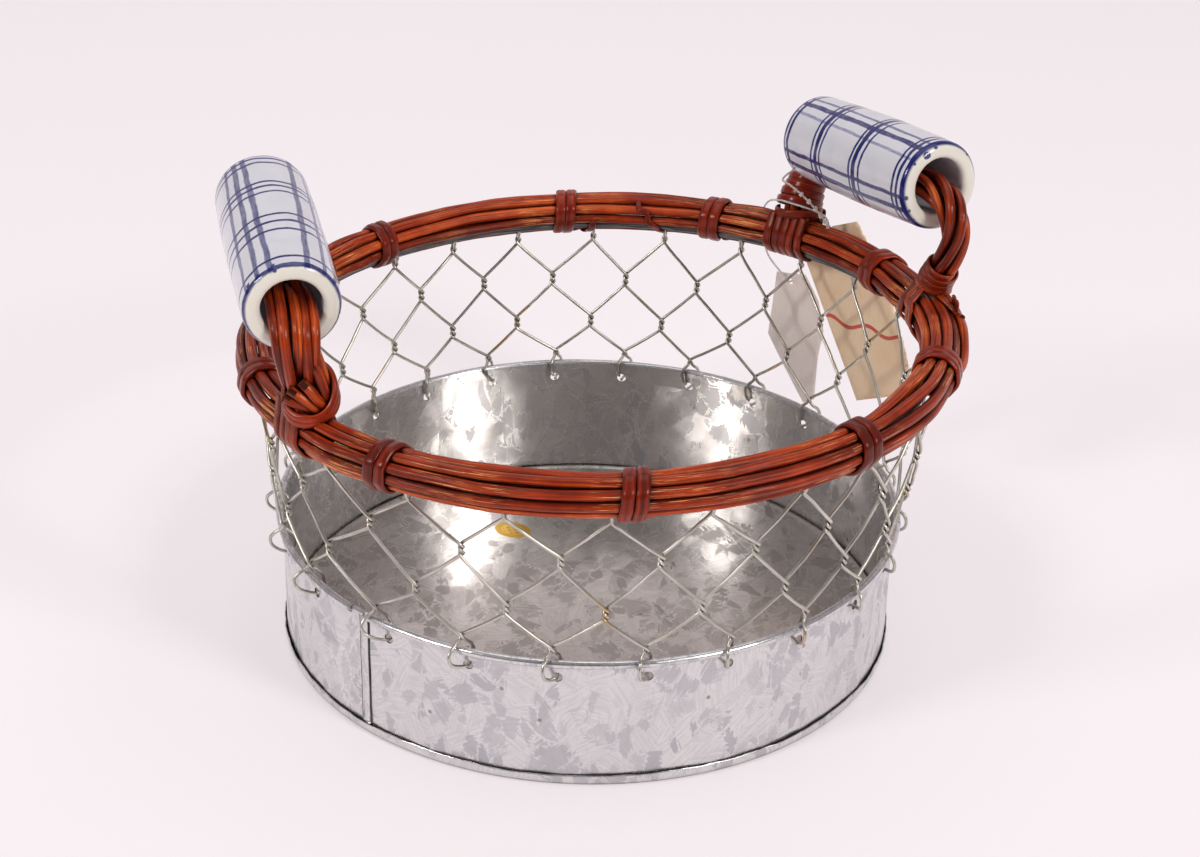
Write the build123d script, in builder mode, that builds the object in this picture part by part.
from build123d import *
import math
import os

# Round wire-sided basket: a galvanised pan with a rolled rim, hand-twisted wire netting hooked
# into it, a ring of bound canes over a steel hoop, and two cane handles that carry loose ceramic
# grips. Millimetres, +Z up, origin at the centre of the pan's underside. Azimuths are in degrees,
# counterclockwise from +X; the front is -Y and the left is -X.

os.makedirs("parts", exist_ok=True)

# ---------------------------------------------------------------- pan sizes
PAN_R = 125.3            # outer face of the wall
SHEET = 0.55             # thickness of the galvanised sheet
RIM_TOP = 55.4           # top of the rolled hem
HEM_R = 1.5              # outer radius of the rolled hem
HEM_END = -75.0          # where the rolled edge stops, degrees round the hem's section
BASE_EDGE_TOP = 4.3      # height of the base's folded edge
BASE_GAP = 0.03          # between the base and the wall
WALL_IN = PAN_R - SHEET
HEM_CENTRE_R = WALL_IN + HEM_R
HEM_CENTRE_Z = RIM_TOP - HEM_R

SEAM_AZIMUTH = 228.6
SEAM_DEPTH, SEAM_WIDTH = 0.9, 4.2
SEAM_OUT = 0.28          # from the wall's outer face to the middle of the seam strip
SEAM_CLEAR = 0.6         # between the seam strip and the hem or the base's edge

HOLE_Z = 47.56
HOLE_D = 4.0
HOLE_AZIMUTHS = [
    10.8, 25.8, 40.8, 54.4, 69.25, 83.85, 98.0, 111.4, 126.55, 139.85, 154.5, 169.1,
    183.8, 198.4, 214.1, 234.3, 250.25, 265.7, 281.0, 295.4, 310.15, 326.2, 340.75, 355.8]

# ---------------------------------------------------------------- netting sizes
WIRE_R = 0.68
WIRE_COUNT = len(HOLE_AZIMUTHS)
TWIST_R = WIRE_R + 0.13                # radius of the twists, to the wires' centres
TWIST_HALF = [1.6, 2.5, 2.5, 1.1]      # half heights of the twists, by row
# Azimuths of the twists, a list for each row from the ring (0) down to the pan (3)
ROW_AZIMUTHS = [
    [21.6, 35.7, 49.2, 62.3, 77.7, 91.5, 106.1, 119.2, 132.0, 147.3, 162.2, 176.8,
     191.7, 207.0, 224.0, 240.8, 256.6, 272.7, 287.9, 303.5, 317.8, 333.0, 349.3, 365.5],
    [13.5, 28.3, 42.0, 55.3, 70.1, 84.5, 99.0, 112.9, 126.5, 140.7, 155.0, 169.5,
     184.3, 199.3, 215.0, 232.6, 249.6, 265.5, 280.9, 296.5, 310.6, 325.2, 341.2, 357.5],
    [18.5, 34.2, 48.2, 61.9, 76.4, 90.9, 106.0, 119.8, 133.5, 147.8, 162.0, 176.5,
     191.0, 205.5, 221.0, 241.0, 257.1, 273.1, 288.8, 304.1, 317.8, 332.0, 347.5, 363.5],
    [11.0, 26.0, 40.4, 54.5, 69.4, 83.4, 97.7, 112.1, 126.0, 139.7, 154.3, 169.0,
     183.7, 198.2, 213.0, 231.9, 249.3, 264.8, 280.3, 295.3, 310.7, 325.4, 339.5, 355.5]]
# Mean height of a row, and its rise from there to the front
ROW_LEVEL = {1: (97.3, 3.2), 2: (75.8, 1.4), 3: (59.55, 0.3)}
# Columns from a wire's eye to its twists in rows 1, 2 and 3
RIGHT_STEPS, LEFT_STEPS = (1, 1, 2), (0, -1, -1)
# Height and radius of the netting's surface
NET_PROFILE = [(56.0, 126.1), (62.0, 126.9), (90.0, 131.0), (114.0, 134.2), (126.0, 134.7)]
NET_FOOT_R = 126.0       # radius at which an azimuth difference is turned into a length
EYE_GAP = 0.36           # between an eye and the lacing cane
EYE_ANGLES = (218.0, 188.0, 158.0, 124.0, 90.0, 56.0, 22.0, -8.0, -38.0)   # inner side first

# Ends of a wire at the pan. Columns: radius, radius per mm of bulge, height,
# share of the leg's offset from its hole, shift toward larger azimuth, shift per mm of bulge
OUTER_END = [
    (127.6, 0.0, 56.9, 1.0, -1.7, 0.0), (129.2, 0.3, 55.4, 1.0, -2.5, 0.0),
    (129.9, 0.8, 52.8, 0.9, -3.0, -0.1), (129.4, 0.85, 50.0, 0.7, -2.9, 0.0),
    (128.0, 0.45, 48.1, 0.3, -2.0, 0.0), (126.4, 0.0, 47.35, 0.0, -0.75, 0.0),
    (125.0, 0.0, 47.15, 0.0, -0.35, 0.0), (123.6, 0.0, 47.3, 0.0, -0.2, 0.0),
    (122.8, 0.0, 47.8, 0.0, -0.2, 0.0)]
INNER_END = [
    (124.2, 0.0, 56.9, 1.0, 1.7, 0.0), (123.0, 0.0, 55.6, 1.0, 2.3, 0.0),
    (122.5, 0.0, 53.4, 0.8, 2.5, 0.0), (122.4, 0.0, 51.4, 0.5, 2.1, 0.0),
    (122.9, 0.0, 50.0, 0.2, 1.4, 0.0), (123.7, 0.0, 49.25, 0.0, 0.9, 0.0)]
# How far the hook at each hole stands out past the plain shape
HOOK_BULGE = [0.6, 0.4, 0.8, 0.3, 0.5, 0.2, 0.4, 0.7, 0.5, 0.9, 1.4, 2.4,
              2.6, 2.2, 3.0, 2.2, 2.4, 1.4, 0.6, 0.5, 0.7, 0.9, 0.8, 0.6]

# ---------------------------------------------------------------- ring sizes
RING_R = 134.75          # centre line of the cane ring
RING_CENTRE_X = 2.6      # the ring sits a little off the pan's axis
RING_Z = 127.65
RING_SLOPE_X = 0.025     # and leans: mm of rise per mm of x
RING_SLOPE_Y = -0.013    # and per mm of y
CANE_R = 2.0
CANE_COUNT = 7
HOOP_R = 1.8
LACE_R = 0.9
LACE_UP = -8.0           # lacing cane's height from the bundle's centre line
BUNDLE_R = 5.92          # to the centres of the canes where they are bound
BUNDLE_SWELL = 0.40      # added halfway between two bindings
SLOT_HALF = 35.2         # half angle of the gap left at the bottom of the bundle
RING_STEPS = 60          # steps of a centre line once round the ring

TIE_AZIMUTHS = [27.8, 67.7, 96.9, 135.4, 153.0, 199.9, 237.3, 276.2, 314.3, 345.2]
TIE_R = 9.38             # to the middle of the strand
TIE_THICK, TIE_WIDTH, TIE_CHAMFER = 1.4, 3.9, 0.4
TIE_PITCH, TIE_TURNS = 4.15, 2.05
TIE_UP = -0.55
# The joint of each strand lies under a tie: indices into TIE_AZIMUTHS
CANE_JOINTS = [0, 9, 5, 2, 8, 1, 7]
HOOP_JOINT, LACE_JOINT = 6, 3

# ---------------------------------------------------------------- handle sizes
GRIP_R, GRIP_BORE_R, GRIP_LENGTH = 18.8, 11.35, 91.0
GRIP_OUTER_FILLET, GRIP_BORE_FILLET = 3.4, 2.2
# Each grip's centre, yaw and tilt; its axis points to the front
GRIPS = {"left": ((-117.9, -41.2, 178.6), -75.2, -5.4),
         "right": ((115.5, 66.8, 178.6), -61.5, 5.8)}
HANDLE_CANE_R = 1.9
HANDLE_BUNDLE_R = 3.98   # five canes round one
HANDLE_TWIST = {"left": 30.0, "right": 110.0}   # turn of the canes from foot to foot, degrees
HANDLE_FOOT_UP = 9.0     # start of the handle's centre line above the ring's
BINDING_R = 1.3
BINDING_PITCH = 2.85
BINDING_GAP = 0.28
STRAP_R = 1.35
STRAP_GAP = 0.25
# azimuth; across: the foot's place outward from the bundle's centre; lean of the neck;
# neck_pull, bore_pull: lengths that shape the bend; turns and start height of the binding
# above the ring; straps: their offsets along the ring
FEET = {
    "left_front": dict(azimuth=217.6, across=0.0, lean=0.75, neck_pull=24.0, bore_pull=16.0,
                       turns=2.8, binding_up=16.2, straps=(-4.6, -0.6, 3.4)),
    "left_back": dict(azimuth=171.6, across=0.0, lean=0.0, neck_pull=30.0, bore_pull=16.0,
                      turns=3.2, binding_up=16.2, straps=(-4.4, 0.0, 4.4)),
    "right_back": dict(azimuth=51.6, across=2.5, lean=0.75, neck_pull=24.0, bore_pull=14.0,
                       turns=2.4, binding_up=17.6, straps=(-8.9, -2.3, 1.1, 4.5)),
    "right_front": dict(azimuth=10.6, across=2.5, lean=0.75, neck_pull=30.0, bore_pull=18.0,
                        turns=3.4, binding_up=16.6, straps=(-4.4, 0.0, 4.4))}
RING_STOPS = sorted(TIE_AZIMUTHS + [foot["azimuth"] for foot in FEET.values()])

# ---------------------------------------------------------------- tag and sticker sizes
TAG_NORMAL = (0.70711, 0.70711, 0.0)     # outward normal of the tags' plane
TAG_RIGHT = (0.70711, -0.70711, 0.0)     # to the right along it, seen from inside the basket
TAG_DISTANCE = 147.9                     # of that plane from the pan's axis
TAG_THICK = 0.4
TAG_HOLE_R = 1.5
# Outlines: place along TAG_RIGHT, height
KRAFT_OUTLINE = [
    (-1.2, 133.1), (12.4, 139.6), (25.0, 124.5), (34.3, 109.7), (43.6, 89.1), (50.1, 70.1),
    (36.7, 63.7), (20.0, 55.9), (12.1, 68.9), (-11.7, 106.3), (-15.1, 111.5), (-10.7, 122.1)]
CARD_OUTLINE = [
    (-31.8, 101.3), (-34.6, 69.9), (-11.0, 43.1), (-5.0, 46.9),
    (-4.4, 69.4), (-2.6, 81.6), (-6.5, 94.7), (-14.9, 105.3)]
KRAFT_HOLE, CARD_HOLE = (1.8, 129.6), (-23.4, 99.4)
TWINE_R, LOOP_R = 0.55, 0.45
TWINE_GAP = 0.3
TWINE_NECK_RUN = 20.4    # along the handle's centre line from its foot to the twine

STICKER_CENTRE = (-33.7, 63.0)
STICKER_TURN = -28
STICKER_RADII = (8.6, 6.4)
STICKER_THICK = 0.12
STICKER_GAP = 0.02


# ---------------------------------------------------------------- vectors
def shifted(a, b, scale=1.0):
    return (a[0] + scale * b[0], a[1] + scale * b[1], a[2] + scale * b[2])


def minus(a, b):
    return (a[0] - b[0], a[1] - b[1], a[2] - b[2])


def dot(a, b):
    return a[0] * b[0] + a[1] * b[1] + a[2] * b[2]


def cross(a, b):
    return (a[1] * b[2] - a[2] * b[1], a[2] * b[0] - a[0] * b[2], a[0] * b[1] - a[1] * b[0])


def length(a):
    return math.sqrt(dot(a, a))


def unit(a):
    size = length(a)
    return (a[0] / size, a[1] / size, a[2] / size)


def polar(radius, degrees):
    angle = math.radians(degrees)
    return radius * math.cos(angle), radius * math.sin(angle)


def bounded_angle(a, b):
    """Angle between two unit vectors, radians."""
    return math.acos(max(-1.0, min(1.0, dot(a, b))))


# ---------------------------------------------------------------- curves
def spline(points, step=0.1):
    """Points about step apart on the centripetal Catmull-Rom curve through points."""
    before = shifted(points[0], minus(points[0], points[1]))
    after = shifted(points[-1], minus(points[-1], points[-2]))
    padded = [before] + list(points) + [after]
    curve = []
    for i in range(len(points) - 1):
        p0, p1, p2, p3 = padded[i:i + 4]
        t0 = 0.0
        t1 = t0 + max(1e-6, length(minus(p1, p0))) ** 0.5
        t2 = t1 + max(1e-6, length(minus(p2, p1))) ** 0.5
        t3 = t2 + max(1e-6, length(minus(p3, p2))) ** 0.5
        count = max(2, int(math.ceil(length(minus(p2, p1)) / step)))
        for k in range(count):
            t = t1 + (t2 - t1) * k / count

            def mix(a, b, ta, tb):
                return tuple(((tb - t) * a[q] + (t - ta) * b[q]) / (tb - ta) for q in range(3))
            a1, a2, a3 = mix(p0, p1, t0, t1), mix(p1, p2, t1, t2), mix(p2, p3, t2, t3)
            b1, b2 = mix(a1, a2, t0, t2), mix(a2, a3, t1, t3)
            curve.append(mix(b1, b2, t1, t2))
    curve.append(points[-1])
    return curve


def smooth(points, rounds):
    """Average each inner point with its neighbours, rounds times."""
    for _ in range(rounds):
        inner = [tuple((a[q] + 2 * b[q] + c[q]) / 4 for q in range(3))
                 for a, b, c in zip(points, points[1:], points[2:])]
        points = [points[0]] + inner + [points[-1]]
    return points


def frames(points, first):
    """Rotation-minimising frames along points: (tangent, normal, binormal) at each."""
    last = len(points) - 1
    tangents = [unit(minus(points[min(i + 1, last)], points[max(i - 1, 0)]))
                for i in range(last + 1)]
    tangent = tangents[0]
    normal = unit(shifted(first, tangent, -dot(first, tangent)))
    found = [(tangent, normal, cross(tangent, normal))]
    for i in range(last):
        # double reflection: across the chord, then onto the next tangent
        chord = minus(points[i + 1], points[i])
        size = dot(chord, chord)
        normal = shifted(normal, chord, -2 / size * dot(chord, normal))
        mirrored = shifted(tangents[i], chord, -2 / size * dot(chord, tangents[i]))
        change = minus(tangents[i + 1], mirrored)
        size = dot(change, change)
        normal = unit(shifted(normal, change, -2 / size * dot(change, normal)))
        found.append((tangents[i + 1], normal, cross(tangents[i + 1], normal)))
    return found


def thin(points, turn, longest):
    """Points along the curve through points, a new one each turn degrees or longest mm."""
    dense = spline(points)
    kept, heading, run = [dense[0]], unit(minus(dense[1], dense[0])), 0.0
    for i in range(1, len(dense) - 1):
        now = unit(minus(dense[i + 1], dense[i]))
        run += length(minus(dense[i], dense[i - 1]))
        if math.degrees(bounded_angle(heading, now)) >= turn or run >= longest:
            kept.append(dense[i])
            heading, run = now, 0.0
    if length(minus(kept[-1], dense[-1])) < 0.4:
        kept.pop()
    kept.append(dense[-1])
    return kept


# ---------------------------------------------------------------- strands and files
def bent(points, radius):
    """A round strand: straight runs joined by tangent arcs, one arc at each inner point."""
    with BuildPart() as piece:
        with BuildLine():
            start = points[0]
            for before, corner, after in zip(points, points[1:], points[2:]):
                into, away = minus(corner, before), minus(after, corner)
                reach = 0.45 * min(length(into), length(away))
                into, away = unit(into), unit(away)
                half = bounded_angle(into, away) / 2
                if half < 0.002:
                    Line(start, corner)
                    start = corner
                    continue
                bend = reach / math.tan(half)
                inward = unit(minus(away, into))
                middle = shifted(corner, inward, bend / math.cos(half) - bend)
                arc_start = shifted(corner, into, -reach)
                arc_end = shifted(corner, away, reach)
                Line(start, arc_start)
                ThreePointArc(arc_start, middle, arc_end)
                start = arc_end
            Line(start, points[-1])
        with BuildSketch(Plane(origin=points[0], z_dir=unit(minus(points[1], points[0])))):
            Circle(radius)
        sweep()
    return piece.part


def strand(points, radius, turn, longest):
    """One clean round solid along the smooth curve through points."""
    run = sum(length(minus(b, a)) for a, b in zip(points, points[1:]))
    expected = math.pi * radius * radius * run
    for factor in (1.0, 1.2, 0.85, 1.45, 0.7):
        # Guards against a sweep that fails at this spacing: the next spacing is used instead.
        try:
            part = bent(thin(points, turn * factor, longest * factor), radius)
        except Exception:
            continue
        solids = part.solids()
        if len(solids) == 1 and solids[0].is_valid and abs(solids[0].volume / expected - 1) < 0.06:
            return solids[0]
    raise ValueError("strand not clean")


def save(part, name):
    part.label = name
    export_step(part, "parts/%s.step" % name)


def save_solids(solids, name):
    """Save one solid, or several separate ones, as a single piece."""
    with BuildPart() as piece:
        add(solids[0])
    if len(solids) > 1:
        piece.part = Part(Compound(children=list(solids)).wrapped)
    save(piece.part, name)


# ---------------------------------------------------------------- pan
def pan_wall():
    with BuildPart() as wall:
        with BuildSketch(Plane.XZ):
            with BuildLine():
                # wall strip, then the hem rolled outward and down, open underneath
                hem_centre = (HEM_CENTRE_R, HEM_CENTRE_Z)
                hem_inner_r = HEM_R - SHEET
                edge_x, edge_z = polar(hem_inner_r, HEM_END)
                inside = Line((WALL_IN, SHEET + BASE_GAP), (WALL_IN, HEM_CENTRE_Z))
                hem_outer = CenterArc(hem_centre, HEM_R, 180, -180 + HEM_END)
                Line(hem_outer @ 1, (HEM_CENTRE_R + edge_x, HEM_CENTRE_Z + edge_z))
                hem_inner = CenterArc(hem_centre, hem_inner_r, HEM_END, 180 - HEM_END)
                outside = Line(hem_inner @ 1, (PAN_R, SHEET + BASE_GAP))
                Line(outside @ 1, inside @ 0)
            make_face()
        revolve(axis=Axis.Z)
        # lapped and folded seam, a flat strip standing a little proud of the wall
        seam_bottom = BASE_EDGE_TOP + SEAM_CLEAR
        seam_top = HEM_CENTRE_Z - HEM_R - SEAM_CLEAR
        with Locations(Location((0, 0, 0), (0, 0, SEAM_AZIMUTH))):
            with Locations((PAN_R + SEAM_OUT, 0, (seam_bottom + seam_top) / 2)):
                Box(SEAM_DEPTH, SEAM_WIDTH, seam_top - seam_bottom)
        # holes for the netting's hooks, cut from outside inward
        for azimuth in HOLE_AZIMUTHS:
            x, y = polar(1.0, azimuth)
            start = ((PAN_R + 4) * x, (PAN_R + 4) * y, HOLE_Z)
            with BuildSketch(Plane(origin=start, z_dir=(-x, -y, 0))):
                Circle(HOLE_D / 2)
            extrude(amount=8, mode=Mode.SUBTRACT)
    return wall.part


def pan_base():
    """Flat floor disc whose edge is folded up round the foot of the wall."""
    edge_in = PAN_R + BASE_GAP
    edge_out = edge_in + SHEET
    crimp_out = edge_out + 0.35
    with BuildPart() as base:
        with BuildSketch(Plane.XZ):
            with BuildLine():
                Polyline((0, 0), (edge_out - 0.5, 0), (edge_out, 0.5), (crimp_out, 1.2),
                         (crimp_out, BASE_EDGE_TOP - 0.5), (edge_out - 0.05, BASE_EDGE_TOP),
                         (edge_in, BASE_EDGE_TOP), (edge_in, SHEET), (0, SHEET), close=True)
            make_face()
        revolve(axis=Axis.Z)
    return base.part


save(pan_wall(), "pan_wall")
save(pan_base(), "pan_base")


# ---------------------------------------------------------------- places on ring and netting
def ring_point(azimuth, out=0.0, up=0.0):
    """A point of the ring, out and up from the bundle's centre line."""
    x, y = polar(1.0, azimuth)
    return (RING_CENTRE_X + (RING_R + out) * x, (RING_R + out) * y,
            RING_Z + RING_SLOPE_X * RING_R * x + RING_SLOPE_Y * RING_R * y + up)


def ring_tangent(azimuth):
    return unit(minus(ring_point(azimuth + 0.5), ring_point(azimuth - 0.5)))


def pan_point(azimuth, radius, z, along):
    """A point about the pan's axis, moved along toward larger azimuth."""
    x, y = polar(1.0, azimuth)
    return (radius * x - along * y, radius * y + along * x, z)


def net_radius(z):
    for (z0, r0), (z1, r1) in zip(NET_PROFILE, NET_PROFILE[1:]):
        if z <= z1:
            return r0 + (r1 - r0) * (z - z0) / (z1 - z0)


def net_point(azimuth, z, out, along=0.0):
    """A point by the netting's surface, which follows the ring's offset toward the top."""
    x, y, z = pan_point(azimuth, net_radius(z) + out, z, along)
    return (RING_CENTRE_X * min(1.0, (z - 57.0) / 60.0) + x, y, z)


# ---------------------------------------------------------------- netting
def near(azimuth, reference):
    """azimuth brought within half a turn of reference."""
    while azimuth - reference > 180:
        azimuth -= 360
    while azimuth - reference < -180:
        azimuth += 360
    return azimuth


def twist(azimuth, middle, half, first, last, steps):
    """One wire of a vertical twist, top to bottom, turning from first to last degrees."""
    points = []
    for k in range(steps + 1):
        f = k / steps
        along, out = polar(TWIST_R, first + (last - first) * f)
        points.append(net_point(azimuth, middle + half * (1 - 2 * f), out, along))
    return points


def top_twist(azimuth, middle_drop, half, first, last, steps):
    """The same under the lacing cane; with no steps it is a single point."""
    tangent = ring_tangent(azimuth)
    points = []
    for k in range(steps + 1):
        f = k / steps if steps else 0.0
        drop = middle_drop + half * (1 - 2 * f)
        along, out = polar(TWIST_R, first + (last - first) * f)
        points.append(shifted(ring_point(azimuth, out + 0.03 * drop, LACE_UP + drop),
                              tangent, along))
    return points


def leg(eye, z, is_right):
    """A leg from below its eye through rows 1 to 3: its points, last azimuth and column."""
    azimuth = ROW_AZIMUTHS[0][eye]
    # right legs cross outside the left ones; both turn the same way
    side = TWIST_R if is_right else -TWIST_R
    first = 90.0 if is_right else 270.0
    points = []
    for row, step in zip((1, 2, 3), RIGHT_STEPS if is_right else LEFT_STEPS):
        column = (eye + step) % WIRE_COUNT
        target = near(ROW_AZIMUTHS[row][column], azimuth)
        level, rise = ROW_LEVEL[row]
        middle = level - rise * math.sin(math.radians(target))
        half = TWIST_HALF[row]
        bow = -0.2 if row == 1 else -0.35
        count = max(2, int(round((z - middle - half) / 6.0)))
        for k in range(1, count + 1):
            f = k / (count + 1.0)
            points.append(net_point(
                azimuth + (target - azimuth) * f,
                z + (middle + half - z) * f + bow * math.sin(math.pi * f),
                side * (1.0 if k in (1, count) else 0.75)))
        turn, steps = (360.0, 6) if row < 3 else (125.0, 3)
        points += twist(target, middle, half, first, first - turn, steps)
        azimuth, z = target, middle - half
    return points, azimuth, column


def pan_end(table, leg_azimuth, column):
    """A wire's end from above the rim down to its hole."""
    hole = HOLE_AZIMUTHS[column]
    bulge = HOOK_BULGE[column]
    offset = (near(leg_azimuth, hole) - hole) * math.radians(1) * NET_FOOT_R
    return [pan_point(hole, radius + radius_bulge * bulge, z,
                      offset * share + shift + shift_bulge * bulge)
            for radius, radius_bulge, z, share, shift, shift_bulge in table]


def hairpin(eye):
    """Centre line of a wire hung over the lacing cane, from the left leg's end (seen from
    outside the basket) over the eye to the right leg's end."""
    azimuth = ROW_AZIMUTHS[0][eye]
    eye_r = LACE_R + WIRE_R + EYE_GAP
    # the eye hugs the lacing cane, from low on its inner side over the top to its outer side
    over = []
    for angle in EYE_ANGLES:
        out, up = polar(eye_r, angle)
        over.append(ring_point(azimuth, out, LACE_UP + up))
    # toward the front the netting is pulled up tight and row 0 has no twist;
    # either way the right leg leaves row 0 outside the left one
    if -math.sin(math.radians(azimuth)) > 0.35:
        half = 0.0
        drop = -eye_r - 0.85
        right_top = top_twist(azimuth, drop, half, 90.0, 90.0, 0)
        left_top = top_twist(azimuth, drop, half, 270.0, 270.0, 0)
    else:
        half = TWIST_HALF[0]
        drop = -eye_r - 0.75 - half
        right_top = top_twist(azimuth, drop, half, 270.0, 90.0, 3)
        left_top = top_twist(azimuth, drop, half, 90.0, -90.0, 3)
        over.reverse()
    leg_top = ring_point(azimuth, 0, LACE_UP)[2] + drop - half
    right, right_azimuth, right_column = leg(eye, leg_top, True)
    left, left_azimuth, left_column = leg(eye, leg_top, False)
    # the left leg comes down outside the rim and goes in through its hole,
    # the right leg comes down inside the rim to its hole's edge
    left_half = left_top + left + pan_end(OUTER_END, left_azimuth, left_column)
    right_half = right_top + right + pan_end(INNER_END, right_azimuth, right_column)
    return left_half[::-1] + over + right_half


save_solids([strand(hairpin(eye), WIRE_R, turn=30.0, longest=6.0) for eye in range(WIRE_COUNT)],
            "netting_wires")


# ---------------------------------------------------------------- ring
def slack(azimuth):
    """0 at a tie or a foot, 1 halfway between two of them."""
    azimuth = azimuth % 360.0
    for start, end in zip(RING_STOPS, RING_STOPS[1:] + [RING_STOPS[0] + 360.0]):
        place = azimuth if azimuth >= start else azimuth + 360.0
        if start <= place <= end:
            return math.sin(math.pi * (place - start) / (end - start)) ** 2


def once_round(joint, half_gap):
    """Azimuths once round from the tie with index joint, half_gap degrees short each side."""
    return [TIE_AZIMUTHS[joint] + half_gap + (360.0 - 2 * half_gap) * i / RING_STEPS
            for i in range(RING_STEPS + 1)]


def bundle_line(place, joint, half_gap):
    """Centre line of the strand at a place in the bundle, counted from the slot."""
    angle = -90.0 + SLOT_HALF + (360.0 - 2 * SLOT_HALF) / CANE_COUNT * place
    return [ring_point(azimuth, *polar(BUNDLE_R + BUNDLE_SWELL * slack(azimuth), angle))
            for azimuth in once_round(joint, half_gap)]


def ring_tie(azimuth):
    """Flat split cane wound about twice round the bundle."""
    tangent = ring_tangent(azimuth)
    height = TIE_PITCH * TIE_TURNS
    start = shifted(ring_point(azimuth, 0, TIE_UP), tangent, -height / 2)
    with BuildPart() as tie:
        with BuildLine() as path:
            Helix(TIE_PITCH, height, TIE_R, center=start, direction=tangent)
        edge = path.edges()[0]
        radial = unit(minus(tuple(edge @ 0), start))
        with BuildSketch(Plane(origin=edge @ 0, x_dir=radial, z_dir=edge % 0)) as flat:
            Rectangle(TIE_THICK, TIE_WIDTH)
            chamfer(flat.vertices(), TIE_CHAMFER)
        sweep(path=edge, is_frenet=True)
    return tie.part.solids()[0]


for place, joint in enumerate(CANE_JOINTS):
    cane = strand(bundle_line(place, joint, half_gap=0.45), CANE_R, turn=4.0, longest=20.0)
    save_solids([cane], "ring_cane_%d" % (place + 1))

hoop_line = bundle_line(CANE_COUNT, HOOP_JOINT, half_gap=0.15)
save_solids([strand(hoop_line, HOOP_R, turn=4.0, longest=20.0)], "steel_hoop")

lace_line = [ring_point(azimuth, 0, LACE_UP) for azimuth in once_round(LACE_JOINT, 0.5)]
save_solids([strand(lace_line, LACE_R, turn=2.5, longest=20.0)], "lacing_cane")

save_solids([ring_tie(azimuth) for azimuth in TIE_AZIMUTHS], "ring_ties")


# ---------------------------------------------------------------- handles
def grip_axis(side):
    """A grip's centre and the direction of its axis."""
    centre, yaw, tilt = GRIPS[side]
    flat, rise = polar(1.0, tilt)
    x, y = polar(1.0, yaw)
    return centre, (x * flat, y * flat, rise)


def foot_half(name):
    """The handle's centre line from a foot up to 8 mm inside the bore."""
    side, end = name.split("_")
    foot = FEET[name]
    azimuth, across = foot["azimuth"], foot["across"]
    centre, direction = grip_axis(side)
    sign = 1.0 if end == "front" else -1.0
    axis = tuple(sign * q for q in direction)
    mouth = shifted(centre, axis, GRIP_LENGTH / 2)
    base = ring_point(azimuth, across, HANDLE_FOOT_UP)
    neck = ring_point(azimuth, across, 13.0)
    toward = minus(shifted(mouth, axis, 6.0), base)
    toward = unit((toward[0], toward[1], 0.0))
    lean = foot["lean"]
    neck_direction = unit((lean * toward[0], lean * toward[1], 1.0))
    # the bundle lies 1.25 mm below the grip's axis
    inside = shifted(shifted(mouth, axis, -8.0), (0.0, 0.0, 1.0), -1.25)
    controls = [neck, shifted(neck, neck_direction, foot["neck_pull"]),
                shifted(inside, axis, foot["bore_pull"]), inside]
    points = [base, ring_point(azimuth, across, 11.0)]
    steps = 26
    for i in range(steps + 1):
        t = i / steps
        weights = ((1 - t) ** 3, 3 * (1 - t) ** 2 * t, 3 * (1 - t) * t * t, t ** 3)
        points.append(tuple(sum(w * p[q] for w, p in zip(weights, controls))
                            for q in range(3)))
    return points


def handle_line(side):
    """The handle bundle's centre line, front foot to back foot."""
    front, back = foot_half(side + "_front"), foot_half(side + "_back")
    steps = 24
    run = minus(back[-1], front[-1])
    middle = [shifted(front[-1], run, k / steps) for k in range(1, steps)]
    return smooth(front + middle + back[::-1], 3)


def line_from_foot(name):
    """The handle bundle's centre line starting at the named foot."""
    side, end = name.split("_")
    line = handle_line(side)
    return line if end == "front" else line[::-1]


def handle_cane(side, k):
    """Centre line of a handle cane: 0 in the middle, 1 to 5 round it."""
    line = handle_line(side)
    if k == 0:
        return line
    outward = polar(1.0, FEET[side + "_front"]["azimuth"]) + (0.0,)
    last = len(line) - 1
    points = []
    for i, (_, normal, binormal) in enumerate(frames(line, outward)):
        a, b = polar(HANDLE_BUNDLE_R, 72.0 * k + HANDLE_TWIST[side] * i / last)
        points.append(shifted(shifted(line[i], normal, a), binormal, b))
    return points


def neck_binding(name):
    """Centre line of the binding wound upward round a neck."""
    turns = FEET[name]["turns"]
    line = line_from_foot(name)
    axes = frames(line, (1.0, 0.0, 0.0))
    runs = [0.0]
    for a, b in zip(line, line[1:]):
        runs.append(runs[-1] + length(minus(b, a)))
    start = FEET[name]["binding_up"] - HANDLE_FOOT_UP
    radius = HANDLE_BUNDLE_R + HANDLE_CANE_R + BINDING_R + BINDING_GAP
    points = []
    steps = int(turns * 14)
    for k in range(steps + 1):
        run = start + BINDING_PITCH * turns * k / steps
        i = max(j for j in range(len(runs) - 1) if runs[j] <= run)
        f = (run - runs[i]) / (runs[i + 1] - runs[i])

        def between(a, b):
            return shifted(a, minus(b, a), f)
        centre = between(line[i], line[i + 1])
        normal = unit(between(axes[i][1], axes[i + 1][1]))
        binormal = unit(between(axes[i][2], axes[i + 1][2]))
        a, b = polar(radius, 360.0 * turns * k / steps)
        points.append(shifted(shifted(centre, normal, a), binormal, b))
    return points


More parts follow.
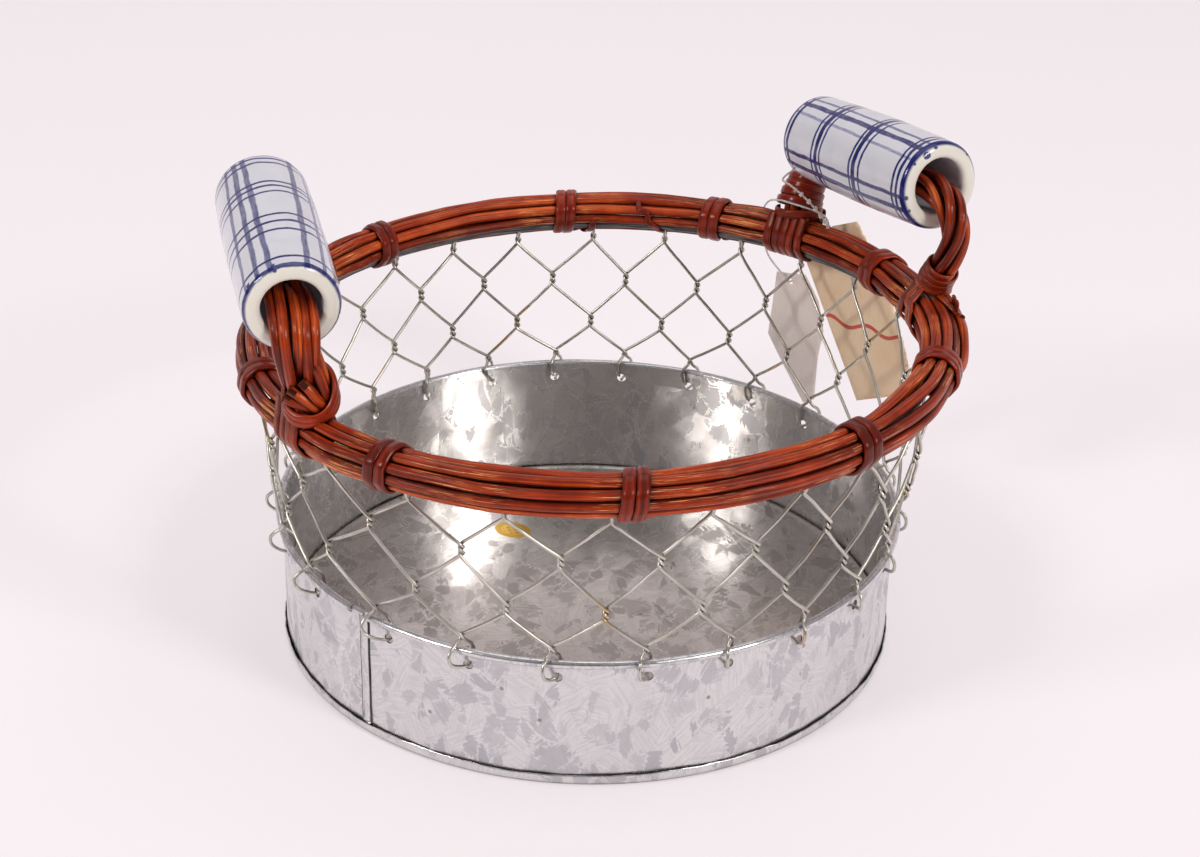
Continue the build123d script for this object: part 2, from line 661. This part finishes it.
def strap_line(name, offset):
    """Centre line of a strap: down one side of the neck, under the ring and up the other."""
    azimuth = FEET[name]["azimuth"] + math.degrees(offset / RING_R)
    across = FEET[name]["across"]
    low_r = 8.45 + STRAP_R + STRAP_GAP
    section = [(across - 7.8, 10.2), (across * 0.6 - 8.6, 7.6), (-9.5, 4.2)]
    for angle in (178, 200, 222, 246, 270, 294, 318, 340, 362):
        out, up = polar(low_r, angle)
        section.append((out, -0.5 + up))
    section += [(9.6, 4.2), (8.7 + across * 0.7, 7.6), (7.8 + across, 10.2)]
    return [ring_point(azimuth, out, up) for out, up in section]


def ceramic_grip(side):
    """Glazed tube, slightly fuller in the middle, with rounded lips."""
    centre, axis = grip_axis(side)
    sideways = unit(cross(axis, (0, 0, 1)))
    half = GRIP_LENGTH / 2
    end_r = GRIP_R - 0.9
    quarter_r = GRIP_R - 0.25
    with BuildPart(Plane(origin=centre, z_dir=axis)) as grip:
        # sketch x runs across the axis and y along it
        with BuildSketch(Plane(origin=centre, x_dir=sideways, z_dir=cross(sideways, axis))):
            with BuildLine():
                Polyline((end_r, -half), (GRIP_BORE_R, -half), (GRIP_BORE_R, half),
                         (end_r, half))
                Spline((end_r, half), (quarter_r, half * 0.5), (GRIP_R, 0),
                       (quarter_r, -half * 0.5), (end_r, -half))
            make_face()
        revolve(axis=Axis(centre, axis))
        lips = grip.edges().filter_by(GeomType.CIRCLE).group_by(SortBy.RADIUS)
        fillet(lips[-1], GRIP_OUTER_FILLET)
        lips = grip.edges().filter_by(GeomType.CIRCLE).group_by(SortBy.RADIUS)
        fillet(lips[0], GRIP_BORE_FILLET)
    return grip.part


for side in GRIPS:
    for k in range(6):
        cane = strand(handle_cane(side, k), HANDLE_CANE_R, turn=7.0, longest=7.0)
        save_solids([cane], "%s_handle_cane_%d" % (side, k + 1))
    save(ceramic_grip(side), side + "_grip")

for name, foot in FEET.items():
    binding = strand(neck_binding(name), BINDING_R, turn=18.0, longest=6.0)
    save_solids([binding], name + "_binding")
    save_solids([strand(strap_line(name, offset), STRAP_R, turn=14.0, longest=6.0)
                 for offset in foot["straps"]], name + "_straps")


# ---------------------------------------------------------------- tags and sticker
def tag_point(right, z, out=0.0):
    """A point by the tags' plane, out from its middle."""
    distance = TAG_DISTANCE + out
    return (TAG_NORMAL[0] * distance + TAG_RIGHT[0] * right,
            TAG_NORMAL[1] * distance + TAG_RIGHT[1] * right, z)


def twine_line():
    """Nearly once round the right back neck, then down to the kraft tag's hole and through."""
    line = line_from_foot("right_back")
    run, i = 0.0, 0
    while run < TWINE_NECK_RUN:
        run += length(minus(line[i + 1], line[i]))
        i += 1
    tangent, normal, binormal = frames(line, (1.0, 0.0, 0.0))[i]
    radius = HANDLE_BUNDLE_R + HANDLE_CANE_R + TWINE_R + TWINE_GAP
    points = []
    steps = 14
    for k in range(steps + 1):
        a, b = polar(radius, -150.0 - 330.0 * k / steps)
        around = shifted(shifted(line[i], normal, a), binormal, b)
        points.append(shifted(around, tangent, 0.8 - 1.6 * k / steps))
    right, z = KRAFT_HOLE
    return points + [
        (94.4, 96.6, 150.2), (98.6, 98.6, 144.2), (101.6, 100.8, 139.2),
        tag_point(right, z + 4.0, -3.5), tag_point(right, z + 1.1, -1.8),
        tag_point(right, z, -0.6), tag_point(right, z, 0.8), tag_point(right, z - 0.8, 2.4)]


def loop_line():
    """Plastic loop: from the card tag's hole up over the ring, in front of the neck and down
    to the kraft tag."""
    right, z = CARD_HOLE
    return [
        tag_point(right, z - 0.6, 2.2), tag_point(right, z, 0.8), tag_point(right, z, -0.8),
        tag_point(right - 0.4, z + 1.6, -2.0),
        (78.0, 131.6, 108.0), (75.6, 131.8, 118.0), (74.4, 128.2, 129.6), (76.0, 118.2, 138.9),
        (79.8, 104.6, 144.9), (84.3, 94.4, 147.6), (90.4, 91.0, 147.0), (95.4, 95.0, 143.6),
        (99.2, 99.8, 139.8), tag_point(-2.4, 134.6, -1.8), tag_point(-2.6, 132.6, -1.4)]


def flat_tag(outline, hole):
    back = tag_point(0, 0, -TAG_THICK / 2)
    with BuildPart() as tag:
        with BuildSketch(Plane(origin=back, x_dir=TAG_RIGHT, z_dir=TAG_NORMAL)):
            # sketch y runs down, so heights are negated
            with BuildLine():
                Polyline(*[(right, -z) for right, z in outline], close=True)
            make_face()
            with Locations((hole[0], -hole[1])):
                Circle(TAG_HOLE_R, mode=Mode.SUBTRACT)
        extrude(amount=TAG_THICK)
    return tag.part


def foil_sticker():
    """Oval sticker on the pan's floor."""
    centre = STICKER_CENTRE + (SHEET + STICKER_GAP,)
    long_axis = polar(1.0, STICKER_TURN) + (0,)
    with BuildPart() as sticker:
        with BuildSketch(Plane(origin=centre, x_dir=long_axis, z_dir=(0, 0, 1))):
            Ellipse(*STICKER_RADII)
        extrude(amount=STICKER_THICK)
    return sticker.part


save_solids([strand(twine_line(), TWINE_R, turn=20.0, longest=8.0)], "tag_twine")
save_solids([strand(loop_line(), LOOP_R, turn=20.0, longest=8.0)], "tag_loop")
save(flat_tag(KRAFT_OUTLINE, KRAFT_HOLE), "kraft_tag")
save(flat_tag(CARD_OUTLINE, CARD_HOLE), "card_tag")
save(foil_sticker(), "foil_sticker")
